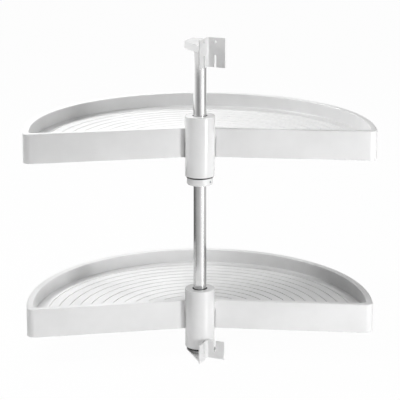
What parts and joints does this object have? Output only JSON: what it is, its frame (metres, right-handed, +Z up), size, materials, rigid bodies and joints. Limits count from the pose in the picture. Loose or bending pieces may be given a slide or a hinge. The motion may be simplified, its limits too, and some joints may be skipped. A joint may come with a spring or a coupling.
{
  "type": "half-moon corner carousel",
  "caption": "Half-moon corner cabinet carousel: white moulded trays that turn on a bright pole between slotted corner brackets, with an adjustable upper tray.",
  "frame": {"origin": "on the pole's axis, at the underside of the bottom bracket, where it rests on the cabinet's floor", "axes": "+Z up along the pole, -Y towards the trays' straight fronts at rest, +X to the right seen from the front"},
  "size_m": [0.75, 0.4512, 0.703],
  "materials": {
    "white_tray": "white moulded plastic, satin",
    "white_hub": "white moulded plastic, semi-gloss",
    "white_sheet": "white powder-coated steel sheet",
    "bright_pole": "bright plated steel tube",
    "black_plastic": "black acetal",
    "zinc_screw": "zinc-plated steel"
  },
  "bodies": {
    "pole_frame": {"pole_tube": "bright_pole", "pole_foot_plug": "white_hub", "pole_foot_screw": "zinc_screw", "bottom_bracket": "white_sheet", "base_bearing_ring": "black_plastic", "top_bracket": "white_sheet", "top_cap_block": "white_hub", "top_cap_screws": "zinc_screw"},
    "lower_carousel": {"lower_tray": "white_tray", "lower_hub": "white_hub", "lower_hub_top_bush": "black_plastic", "lower_hub_bottom_bush": "black_plastic", "lower_hub_screws": "zinc_screw"},
    "height_collar": {"stop_collar": "white_hub", "collar_grub_screw": "zinc_screw", "upper_thrust_washer": "black_plastic"},
    "upper_carousel": {"upper_tray": "white_tray", "upper_hub": "white_hub", "upper_hub_top_bush": "black_plastic", "upper_hub_bottom_bush": "black_plastic", "upper_hub_screws": "zinc_screw"}
  },
  "joints": [
    {"name": "lower_tray_spin", "type": "hinge", "parent": "pole_frame", "child": "lower_carousel", "pos_m": [0, 0, 0.014], "axis": [0, 0, 1], "continuous": true},
    {"name": "upper_tray_height", "type": "slide", "parent": "pole_frame", "child": "height_collar", "axis": [0, 0, 1], "range_m": [-0.2, 0.1]},
    {"name": "upper_tray_spin", "type": "hinge", "parent": "height_collar", "child": "upper_carousel", "pos_m": [0, 0, 0.398], "axis": [0, 0, 1], "continuous": true}
  ]
}
